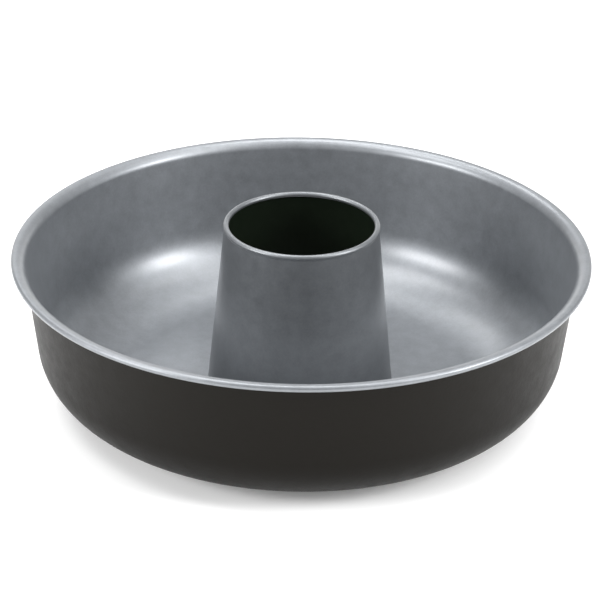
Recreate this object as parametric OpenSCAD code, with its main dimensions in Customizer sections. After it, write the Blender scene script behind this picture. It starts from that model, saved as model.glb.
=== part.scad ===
// Ring cake pan with a fixed floor and a tapered centre tube.
// Two pieces of coated steel sheet, clinched together round the hole in the pan's floor.
// The origin is on the table, under the middle of the tube. +Z is up.

/* [Pan] */
// Diameter over the rolled rim
rim_d = 280; // [250:1:320]
// Height of the rim's top face above the table
pan_h = 75.6; // [60:0.2:90]
// Thickness of the pan's sheet
pan_sheet = 0.8; // [0.7:0.05:1]
// Lean of the wall from upright, in degrees
wall_lean = 6.5; // [3:0.5:10]
// Outside radius of the corner between wall and floor, in its upper part
corner_r = 29.4; // [16:0.2:36]
// Outside radius of the corner's lower part, which runs out into the floor
sweep_r = 52; // [40:1:64]
// Slope of the sheet, in degrees from level, where the two radii meet
sweep_turn = 33; // [20:1:36]

/* [Rim] */
// Distance from the wall's outer face, carried up to the rim's height, to the rim's edge
rim_reach = 6; // [5.8:0.1:9]
// Radius of the bend from the wall out to the rim, on its top face
rim_bend_r = 5.4; // [3:0.1:5.6]
// Radius of the rolled edge, over the sheet
rim_roll_r = 1.45; // [1.3:0.05:1.6]
// Angle through which the rim's edge is rolled
rim_roll_turn = 215; // [180:5:240]

/* [Tube] */
// Height of the tube's top above the rim's top face
tube_rise = 13.3; // [5:0.1:25]
// Diameter over the tube's rolled top
tube_top_d = 75.8; // [66:0.2:84]
// Thickness of the tube's sheet
tube_sheet = 0.8; // [0.6:0.05:0.9]
// Lean of the tube's side from upright, in degrees
tube_lean = 5.7; // [3:0.1:7]
// Radius of the tube's rolled top edge, over the sheet
tube_roll_r = 1.35; // [1.3:0.05:1.6]
// Angle through which the tube's top edge is rolled inwards
tube_roll_turn = 210; // [180:5:240]
// Distance by which the rolled edge stands out past the tube's side
tube_roll_out = 0.5; // [0.2:0.05:0.6]
// Outside radius of the hollow where the side meets the rolled edge
tube_neck_r = 1.5; // [1:0.1:2]

/* [Seam] */
// Height of the floor's raised seat, under its sheet, above the table
seat_h = 1.1; // [1.1:0.1:2]
// Width of the flat seat around its hole
seat_w = 6; // [5:0.5:10]
// Width of the flat ring on which the pan stands
stand_w = 8; // [6:0.5:16]
// Width of the tube's flat shoulder on top of the seat
shoulder_w = 1; // [0.6:0.1:2]
// Outside radius of the bend from the shoulder up to the tube's side
shoulder_r = 1.2; // [1.1:0.1:1.6]
// Width of the tube's foot that is turned out under the seat
foot_w = 4; // [2.5:0.1:5]
// Clearance between the tube's neck and the hole in the seat
neck_gap = 0.3; // [0.1:0.05:0.35]

/* [Quality] */
// Largest angle of one step along a drawn bend, in degrees
bend_step = 6; // [4:1:10]
// Longest step along a drawn bend
bend_run = 4; // [2:0.5:6]

/* [Hidden] */
turn_fn = 180;
coat_grey = [0.45, 0.46, 0.48];
tube_grey = [0.38, 0.40, 0.42];

rim_r = rim_d / 2;
tube_top_z = pan_h + tube_rise;
seat_top = seat_h + pan_sheet;

// Wall's outer face, carried straight up to the rim's height and down to the table
wall_top_r = rim_r - rim_reach;
wall_foot_r = wall_top_r - pan_h * tan(wall_lean);

// Centres of the pan's bends, as [radius from the axis, height]
corner_z = corner_r + (sweep_r - corner_r) * (1 - cos(sweep_turn));
corner_c = [wall_foot_r + corner_z * tan(wall_lean) - corner_r / cos(wall_lean), corner_z];
sweep_c = [corner_c[0] - (sweep_r - corner_r) * sin(sweep_turn), sweep_r];
rim_bend_z = pan_h - rim_bend_r;
rim_bend_c = [
    wall_foot_r + rim_bend_z * tan(wall_lean) + (rim_bend_r - pan_sheet) / cos(wall_lean),
    rim_bend_z
];
rim_roll_c = [rim_r - rim_roll_r, pan_h - rim_roll_r];

// Centre of the tube's rolled top. The hollow under it turns the sheet outwards by hollow_turn.
tube_roll_c = [tube_top_d / 2 - tube_roll_r, tube_top_z - tube_roll_r];
hollow_turn = acos(1 - tube_roll_out / (tube_roll_r + tube_neck_r));
hollow_c = tube_roll_c
    + (tube_roll_r + tube_neck_r) * [cos(tube_lean - hollow_turn), sin(tube_lean - hollow_turn)];

// Centre of the tube's shoulder bend: one straight side touches the hollow and the shoulder
shoulder_z = seat_top + shoulder_r;
shoulder_c = [
    hollow_c[0] + (hollow_c[1] - shoulder_z) * tan(tube_lean)
        - (tube_neck_r + shoulder_r) / cos(tube_lean),
    shoulder_z
];

// The hole in the seat, and the tube's neck that passes through it
hole_r = shoulder_c[0] - shoulder_w;
neck_r = hole_r - neck_gap;
foot_r = hole_r + foot_w;

// The floor rises from its standing ring to the seat in two long, shallow bends that turn
// through the same angle, so that no step shows around the tube
rise_w = sweep_c[0] - stand_w - hole_r - seat_w;
rise_turn = 2 * atan(seat_h / rise_w);
rise_r = (rise_w / sin(rise_turn) - pan_sheet) / 2;
rise_top_c = [hole_r + seat_w, seat_h - rise_r];
rise_foot_c = [sweep_c[0] - stand_w, pan_sheet + rise_r];

// Each bend is [centre, radius of the under or outer face, radius of the upper or inner face,
// first angle, last angle]. Straight sheet runs from each bend to the next.
pan_bends = [
    [rise_top_c, rise_r, rise_r + pan_sheet, 90, 90 - rise_turn],
    [rise_foot_c, rise_r + pan_sheet, rise_r, 270 - rise_turn, 270],
    [sweep_c, sweep_r, sweep_r - pan_sheet, 270, 270 + sweep_turn],
    [corner_c, corner_r, corner_r - pan_sheet, 270 + sweep_turn, 360 - wall_lean],
    [rim_bend_c, rim_bend_r - pan_sheet, rim_bend_r, 180 - wall_lean, 90],
    [rim_roll_c, rim_roll_r - pan_sheet, rim_roll_r, 90, 90 - rim_roll_turn]
];
tube_bends = [
    [[hole_r, seat_h + neck_gap], neck_gap, neck_gap + tube_sheet, 270, 180],
    [[hole_r, seat_top - neck_gap], neck_gap, neck_gap + tube_sheet, 180, 90],
    [shoulder_c, shoulder_r, shoulder_r - tube_sheet, 270, 360 + tube_lean],
    [hollow_c, tube_neck_r, tube_neck_r + tube_sheet,
        180 + tube_lean, 180 + tube_lean - hollow_turn],
    [tube_roll_c, tube_roll_r, tube_roll_r - tube_sheet,
        tube_lean - hollow_turn, tube_lean + tube_roll_turn]
];

// Steps along one bend, the same on both of its faces
function bend_steps(b) =
    let (turn = abs(b[4] - b[3]))
    ceil(max(turn / bend_step, turn * max(b[1], b[2]) * PI / 180 / bend_run));

// Points along one face of the sheet: face 1 is under or outside, face 2 is above or inside
function face_points(bends, face) =
    [for (b = bends) for (i = [0:bend_steps(b)])
        let (a = b[3] + (b[4] - b[3]) * i / bend_steps(b))
        b[0] + b[face] * [cos(a), sin(a)]];

function reversed(list) = [for (i = [len(list) - 1:-1:0]) list[i]];

// Closed section of a sheet that starts at a square cut edge, given on both faces
function sheet_section(bends, edge) =
    concat([edge[0]], face_points(bends, 1), reversed(face_points(bends, 2)), [edge[1]]);

// Drawn in one piece: seat, floor, corner, wall and the rim rolled outwards and under
module pan_body() {
    cut_edge = [[hole_r, seat_h], [hole_r, seat_top]];
    color(coat_grey)
        rotate_extrude($fn = turn_fn)
            polygon(sheet_section(pan_bends, cut_edge));
}

// Tapered tube: foot turned out under the seat, neck through the hole, shoulder on top
// of the seat, straight side, and the top edge rolled inwards
module centre_tube() {
    cut_edge = [[foot_r, seat_h], [foot_r, seat_h - tube_sheet]];
    color(tube_grey)
        rotate_extrude($fn = turn_fn)
            polygon(sheet_section(tube_bends, cut_edge));
}

pan_body();
centre_tube();
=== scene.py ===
import math

import bpy
from mathutils import Matrix, Vector


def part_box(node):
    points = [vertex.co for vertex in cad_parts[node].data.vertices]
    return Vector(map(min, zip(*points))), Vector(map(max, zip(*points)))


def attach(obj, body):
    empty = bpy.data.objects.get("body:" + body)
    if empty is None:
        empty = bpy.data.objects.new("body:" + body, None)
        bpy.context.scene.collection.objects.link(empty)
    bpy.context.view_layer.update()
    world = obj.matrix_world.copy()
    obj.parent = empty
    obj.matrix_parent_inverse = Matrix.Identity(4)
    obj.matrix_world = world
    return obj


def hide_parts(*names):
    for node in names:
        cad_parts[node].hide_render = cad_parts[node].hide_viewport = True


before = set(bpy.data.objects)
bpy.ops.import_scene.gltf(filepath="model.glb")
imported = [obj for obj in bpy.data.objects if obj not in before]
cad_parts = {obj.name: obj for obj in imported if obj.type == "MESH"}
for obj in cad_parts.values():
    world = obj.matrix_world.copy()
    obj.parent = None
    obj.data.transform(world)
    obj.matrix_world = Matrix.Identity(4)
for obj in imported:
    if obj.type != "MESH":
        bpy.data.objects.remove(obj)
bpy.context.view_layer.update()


# The pan. One round of 0.8 mm steel sheet, drawn in a press: a seat round the tube's hole, from
# which the floor falls gently to a flat ring, a corner of two radii, a leaning wall and a rim
# with its edge rolled outwards and under. The blank is coated first, grey inside, black outside.

pan_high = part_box("pan_body")[1]
rim_r = pan_high.x
pan_h = pan_high.z
pan_sheet = 0.0008
wall_lean = math.radians(6.5)

# The corner's upper part and its flatter lower part meet where the sheet slopes by sweep_turn
corner_r = 0.0294
sweep_r = 0.052
sweep_turn = math.radians(33)

rim_reach = 0.006
rim_bend_r = 0.0054
rim_roll_r = 0.00145
rim_roll_turn = math.radians(215)

# The hole takes the tube's neck. The tube's foot, its widest place, reaches past it by foot_w
foot_w = 0.004
hole_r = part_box("centre_tube")[1].x - foot_w
seat_h = 0.0011
seat_w = 0.006
stand_w = 0.008

# Centres of the pan's bends, each as (distance from the axis, height)
wall_foot_r = rim_r - rim_reach - pan_h * math.tan(wall_lean)
corner_z = corner_r + (sweep_r - corner_r) * (1 - math.cos(sweep_turn))
corner_c = (wall_foot_r + corner_z * math.tan(wall_lean) - corner_r / math.cos(wall_lean),
            corner_z)
sweep_c = (corner_c[0] - (sweep_r - corner_r) * math.sin(sweep_turn), sweep_r)
rim_bend_z = pan_h - rim_bend_r
rim_bend_c = (wall_foot_r + rim_bend_z * math.tan(wall_lean)
              + (rim_bend_r - pan_sheet) / math.cos(wall_lean), rim_bend_z)
rim_roll_c = (rim_r - rim_roll_r, pan_h - rim_roll_r)

# The floor rises from the flat ring to the seat in two long bends of the same turn
rise_w = sweep_c[0] - stand_w - hole_r - seat_w
rise_turn = 2 * math.atan(seat_h / rise_w)
rise_r = (rise_w / math.sin(rise_turn) - pan_sheet) / 2
rise_top_c = (hole_r + seat_w, seat_h - rise_r)
rise_foot_c = (sweep_c[0] - stand_w, pan_sheet + rise_r)

quarter = math.pi / 2

# How finely the sheet is drawn: the steps along its bends, along its straight runs and round the
# axis, the gap over which the spin's seam closes, and the angle up to which an edge looks smooth
bend_step = math.radians(5)
bend_run = 0.004
ring_step = 0.012
steps_round = 256
seam_gap = 0.000005
smooth_below = math.radians(50)


def bend(centre, radius, first, last):
    """Points along one bend of the sheet, each as (distance from the axis, height)."""
    turn = abs(last - first)
    count = math.ceil(max(turn / bend_step, turn * radius / bend_run))
    turns = [first + (last - first) * i / count for i in range(count + 1)]
    return [(centre[0] + radius * math.cos(a), centre[1] + radius * math.sin(a)) for a in turns]


def with_rings(points):
    """The same section with its long straight runs divided into steps of about ring_step."""
    rings = [points[0]]
    for (x0, z0), (x1, z1) in zip(points, points[1:]):
        count = max(1, round(math.hypot(x1 - x0, z1 - z0) / ring_step))
        rings += [(x0 + (x1 - x0) * i / count, z0 + (z1 - z0) * i / count)
                  for i in range(1, count + 1)]
    return rings


def draw_section(name, points):
    """Draws a sheet's section beside the axis. A plane that is merged to one point starts it,
    and the point is extruded from place to place. The piece is left in edit mode."""
    bpy.ops.object.select_all(action="DESELECT")
    bpy.ops.mesh.primitive_plane_add(size=pan_sheet, location=(points[0][0], 0, points[0][1]))
    piece = bpy.context.object
    piece.name = name
    bpy.ops.object.transform_apply(location=True)
    bpy.ops.object.mode_set(mode="EDIT")
    bpy.ops.mesh.merge(type="CENTER")
    for (x0, z0), (x1, z1) in zip(points, points[1:]):
        move = {"value": (x1 - x0, 0, z1 - z0)}
        bpy.ops.mesh.extrude_vertices_move(TRANSFORM_OT_translate=move)
    return piece


def spin_sheet(piece, faces_out, sheet, finishes):
    """Spins the drawn section round the axis and gives the sheet its thickness.
    The drawn face, which looks away from the axis if faces_out says so, takes the first finish,
    the other face the second, and the cut edges the third."""
    bpy.ops.mesh.select_all(action="SELECT")
    bpy.ops.mesh.spin(steps=steps_round, angle=2 * math.pi, center=(0, 0, 0), axis=(0, 0, 1))
    bpy.ops.mesh.select_all(action="SELECT")
    bpy.ops.mesh.remove_doubles(threshold=seam_gap)
    bpy.ops.mesh.normals_make_consistent(inside=False)
    bpy.ops.object.mode_set(mode="OBJECT")
    looks_out = sum(face.area * face.normal.dot(Vector((face.center.x, face.center.y, 0)))
                    for face in piece.data.polygons) > 0
    if looks_out != faces_out:
        bpy.ops.object.mode_set(mode="EDIT")
        bpy.ops.mesh.flip_normals()
        bpy.ops.object.mode_set(mode="OBJECT")
    for finish in finishes:
        piece.data.materials.append(finish)
    wall = piece.modifiers.new("sheet", "SOLIDIFY")
    wall.thickness = sheet
    wall.offset = -1
    wall.use_even_offset = True
    wall.material_offset = 1
    wall.material_offset_rim = 2
    bpy.ops.object.modifier_apply(modifier=wall.name)
    bpy.ops.object.shade_smooth_by_angle(angle=smooth_below)


pan_section = (
    [(hole_r, seat_h + pan_sheet)]
    + bend(rise_top_c, rise_r + pan_sheet, quarter, quarter - rise_turn)
    + bend(rise_foot_c, rise_r, 3 * quarter - rise_turn, 3 * quarter)
    + bend(sweep_c, sweep_r - pan_sheet, 3 * quarter, 3 * quarter + sweep_turn)
    + bend(corner_c, corner_r - pan_sheet, 3 * quarter + sweep_turn, 4 * quarter - wall_lean)
    + bend(rim_bend_c, rim_bend_r, 2 * quarter - wall_lean, quarter)
    + bend(rim_roll_c, rim_roll_r, quarter, quarter - rim_roll_turn)
)

# Cells of noise per metre: soft clouds of 7 mm, flakes of 1 mm and orange-peel dimples of 2.4 mm
cloud_scale = 150
flake_scale = 1000
peel_scale = 420
noise_roughness = 0.62

# The part of the mixed noise over which the colour goes from dark to light, and the gloss
# from its lowest roughness to its highest
shade_span = (0.25, 0.75)
gloss_span = (0.3, 0.7)


def adjust(node, values):
    """Sets a node's sockets, each by its name."""
    for socket, value in values.items():
        node.inputs[socket].default_value = value


def finish_of(name, dark, light, metal, gloss, grain, peel):
    """A coat or a bare metal, a little uneven in colour and gloss, with a fine grain that breaks
    up its reflections. gloss is its lowest and highest roughness, grain the share that the
    flakes have in its unevenness, and peel how high its dimples stand, in metres.
    Returns the material and its shader."""
    material = bpy.data.materials.new(name)
    material.use_nodes = True
    nodes = material.node_tree.nodes
    links = material.node_tree.links
    shader = nodes["Principled BSDF"]
    adjust(shader, {"Metallic": metal})
    place = nodes.new("ShaderNodeTexCoord")

    def noise(scale, detail):
        node = nodes.new("ShaderNodeTexNoise")
        adjust(node, {"Scale": scale, "Detail": detail, "Roughness": noise_roughness})
        links.new(place.outputs["Object"], node.inputs["Vector"])
        return node.outputs["Fac"]

    cloud = noise(cloud_scale, detail=5)
    flake = noise(flake_scale, detail=2)
    dimples = noise(peel_scale, detail=2)

    blend = nodes.new("ShaderNodeMix")
    blend.data_type = "FLOAT"
    adjust(blend, {"Factor": grain})
    links.new(cloud, blend.inputs["A"])
    links.new(flake, blend.inputs["B"])

    ramp = nodes.new("ShaderNodeValToRGB")
    for stop, position, shade in zip(ramp.color_ramp.elements, shade_span, (dark, light)):
        stop.position = position
        stop.color = (*shade, 1)
    links.new(blend.outputs["Result"], ramp.inputs["Fac"])
    links.new(ramp.outputs["Color"], shader.inputs["Base Color"])

    rough = nodes.new("ShaderNodeMapRange")
    adjust(rough, {"From Min": gloss_span[0], "From Max": gloss_span[1],
                   "To Min": gloss[0], "To Max": gloss[1]})
    links.new(blend.outputs["Result"], rough.inputs["Value"])
    links.new(rough.outputs["Result"], shader.inputs["Roughness"])

    bump = nodes.new("ShaderNodeBump")
    adjust(bump, {"Strength": 1, "Distance": peel})
    links.new(dimples, bump.inputs["Height"])
    links.new(bump.outputs["Normal"], shader.inputs["Normal"])
    return material, shader


def grey_nonstick(name, dark, light):
    """The grey coat: metal flakes under a clear satin layer."""
    material, shader = finish_of(name, dark, light, metal=0.7, gloss=(0.43, 0.49), grain=0.35,
                                 peel=0.000014)
    adjust(shader, {"Coat Weight": 0.6, "Coat Roughness": 0.25})
    return material


def black_satin(name, dark, light, gloss, peel, ior, tint):
    """The black coat. ior sets how strongly it mirrors, and tint colours what it mirrors."""
    material, shader = finish_of(name, dark, light, metal=0, gloss=gloss, grain=0.3, peel=peel)
    adjust(shader, {"IOR": ior, "Specular Tint": (*tint, 1)})
    return material


grey_coat = grey_nonstick("grey_coat", dark=(0.166, 0.176, 0.188), light=(0.232, 0.246, 0.263))
black_coat = black_satin("black_coat", dark=(0.0025, 0.0023, 0.002),
                         light=(0.004, 0.0036, 0.003), gloss=(0.4, 0.52), peel=0.00005,
                         ior=1.22, tint=(1.0, 0.93, 0.83))
cut_steel = finish_of("cut_steel", dark=(0.3, 0.3, 0.31), light=(0.42, 0.42, 0.43), metal=1,
                      gloss=(0.35, 0.5), grain=0.6, peel=0.000004)[0]

pan = draw_section("pan", with_rings(pan_section))
spin_sheet(pan, False, pan_sheet, (grey_coat, black_coat, cut_steel))
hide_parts("pan_body")
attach(pan, "root")


# The centre tube. The same sheet, drawn to a taper with its top edge rolled inwards, coated in
# the pan's grey outside, painted darker there as painted shade, and black inside, tinted green
# and painted a little lighter there as painted light. Its neck goes through the hole in the
# seat: a shoulder bears on the seat and the foot is turned out under it, which clinches the two
# pieces together.

tube_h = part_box("centre_tube")[1].z
tube_sheet = 0.0008
tube_top_r = 0.0379
tube_lean = math.radians(5.7)
tube_roll_r = 0.00135
tube_roll_turn = math.radians(210)
tube_roll_out = 0.0005
tube_neck_r = 0.0015
shoulder_r = 0.0012
neck_gap = 0.0003

# Centres of the rolled top, of the hollow under it and of the shoulder's bend, as the pan's are
seat_top = seat_h + pan_sheet
tube_roll_c = (tube_top_r - tube_roll_r, tube_h - tube_roll_r)
hollow_turn = math.acos(1 - tube_roll_out / (tube_roll_r + tube_neck_r))
hollow_c = (tube_roll_c[0] + (tube_roll_r + tube_neck_r) * math.cos(tube_lean - hollow_turn),
            tube_roll_c[1] + (tube_roll_r + tube_neck_r) * math.sin(tube_lean - hollow_turn))
shoulder_z = seat_top + shoulder_r
shoulder_c = (hollow_c[0] + (hollow_c[1] - shoulder_z) * math.tan(tube_lean)
              - (tube_neck_r + shoulder_r) / math.cos(tube_lean), shoulder_z)

tube_section = (
    [(hole_r + foot_w, seat_h)]
    + bend((hole_r, seat_h + neck_gap), neck_gap, 3 * quarter, 2 * quarter)
    + bend((hole_r, seat_top - neck_gap), neck_gap, 2 * quarter, quarter)
    + bend(shoulder_c, shoulder_r, -quarter, tube_lean)
    + bend(hollow_c, tube_neck_r, 2 * quarter + tube_lean, 2 * quarter + tube_lean - hollow_turn)
    + bend(tube_roll_c, tube_roll_r, tube_lean - hollow_turn, tube_lean + tube_roll_turn)
)

# The tube's outer coat is the pan's grey coat with darker colours: painted shade on the tube's
# side.
tube_coat = grey_nonstick("tube_coat", dark=(0.128, 0.136, 0.145), light=(0.179, 0.19, 0.203))
# The bore's coat is the black coat tinted green and painted lighter: painted light in the deep
# bore.
bore_coat_painted_light = black_satin("bore_coat_painted_light", dark=(0.005, 0.0075, 0.0047), light=(0.0065, 0.01, 0.006),
                        gloss=(0.4, 0.48), peel=0.000016, ior=1.2, tint=(0.85, 1.0, 0.82))

tube = draw_section("tube", with_rings(tube_section))
spin_sheet(tube, True, tube_sheet, (tube_coat, bore_coat_painted_light, cut_steel))
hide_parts("centre_tube")
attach(tube, "root")


# The studio: a plain white table, soft boxes at both sides, behind and above, and a pale room.
# The table lies a hair lower than the pan's flat ring. It glows a little, as a photographer's
# light table does, so that the pan's shadow stays faint.

table_size = 30
table_drop = 0.0001
table_white = (0.9, 0.9, 0.9, 1)
table_roughness = 0.9
table_glow = 0.15

bpy.ops.object.select_all(action="DESELECT")
bpy.ops.mesh.primitive_plane_add(size=table_size, location=(0, 0, -table_drop))
table = bpy.context.object
table.name = "table"
table_top = bpy.data.materials.new("table_white")
table_top.use_nodes = True
adjust(table_top.node_tree.nodes["Principled BSDF"],
       {"Base Color": table_white, "Roughness": table_roughness,
        "Emission Color": (1, 1, 1, 1), "Emission Strength": table_glow})
table.data.materials.append(table_top)

light_away = 1.6
light_aim = Vector((0, 0, 0.03))


def soft_box(name, power, width, height, side, up):
    """A soft box that faces the pan, with its power in watts. side is its angle round the pan
    from the camera's side towards the right, and up its angle above the table, in degrees."""
    lamp = bpy.data.lights.new(name, "AREA")
    lamp.shape = "RECTANGLE"
    lamp.size = width
    lamp.size_y = height
    lamp.energy = power
    box = bpy.data.objects.new(name, lamp)
    bpy.context.scene.collection.objects.link(box)
    side, up = math.radians(side), math.radians(up)
    outwards = Vector((math.sin(side) * math.cos(up), -math.cos(side) * math.cos(up),
                       math.sin(up)))
    box.location = light_aim + outwards * light_away
    box.rotation_euler = outwards.to_track_quat("Z", "Y").to_euler()


soft_box("left_box", power=19.4, width=0.8, height=0.5, side=296, up=26)
soft_box("left_top", power=13, width=0.8, height=0.8, side=270, up=66)
soft_box("right_box", power=18.5, width=0.5, height=0.6, side=68, up=28)
soft_box("right_high", power=5.3, width=0.7, height=0.5, side=60, up=48)
soft_box("right_top", power=8.2, width=0.8, height=0.8, side=90, up=66)
soft_box("back_top", power=9.2, width=0.6, height=0.6, side=180, up=68)
soft_box("back_high", power=4.2, width=0.5, height=0.4, side=200, up=46)
soft_box("back_low", power=3.7, width=2.2, height=0.5, side=180, up=12)

room_light = 0.48
room = bpy.data.worlds.new("room")
bpy.context.scene.world = room
room.use_nodes = True
adjust(room.node_tree.nodes["Background"], {"Color": (1, 1, 1, 1), "Strength": room_light})
bpy.context.scene.view_settings.view_transform = "Standard"


# The camera stands in front of the pan and looks down on it, a little turned about its own line
# of sight, as in the photograph. Its place, its lens and the point it looks at come from fitting
# the photograph's ellipses. That point is on the tube's axis but for aim_left, under the rim.

camera_up = math.radians(26.75)
camera_away = 1.113
camera_turn = math.radians(0.753)
camera_lens = 136.3
camera_sensor = 36
aim_left = 0.0004
aim_under_rim = 0.02835

eye = bpy.data.cameras.new("camera")
eye.lens = camera_lens
eye.sensor_width = camera_sensor
camera = bpy.data.objects.new("camera", eye)
bpy.context.scene.collection.objects.link(camera)
aim = Vector((-aim_left, 0, pan_h - aim_under_rim))
towards_eye = Vector((0, -math.cos(camera_up), math.sin(camera_up)))
camera.matrix_world = (Matrix.Translation(aim + towards_eye * camera_away)
                       @ towards_eye.to_track_quat("Z", "Y").to_matrix().to_4x4()
                       @ Matrix.Rotation(camera_turn, 4, "Z"))
bpy.context.scene.camera = camera
